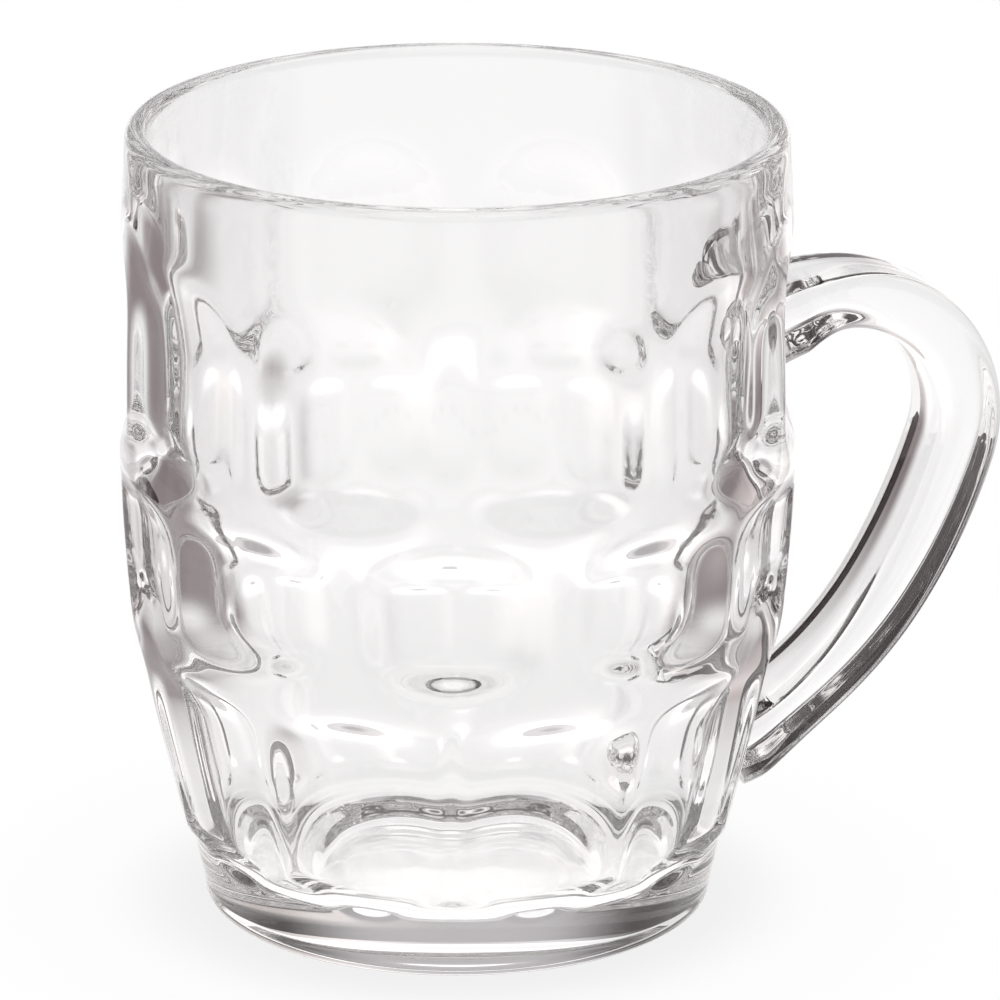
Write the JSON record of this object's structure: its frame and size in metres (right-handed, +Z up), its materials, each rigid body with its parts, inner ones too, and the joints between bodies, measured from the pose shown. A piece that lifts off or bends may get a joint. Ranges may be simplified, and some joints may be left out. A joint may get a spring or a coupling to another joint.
{
  "type": "dimpled glass beer mug",
  "caption": "Half-pint beer mug of clear pressed glass, with rows of shallow dimples round a barrel-shaped bowl, a thick plain foot and a strap handle.",
  "frame": {"origin": "centre of the ring that the mug stands on, on the bowl's axis, in the plane of the table", "axes": "+Z up along the bowl's axis; +X towards the handle; the handle's plane is XZ"},
  "size_m": [0.1119, 0.0838, 0.1],
  "materials": {
    "bowl_glass": "clear fire-polished pressed glass",
    "handle_glass": "clear fire-polished pressed glass"
  },
  "bodies": {
    "root": {"bowl": "bowl_glass", "handle": "handle_glass"}
  },
  "joints": []
}
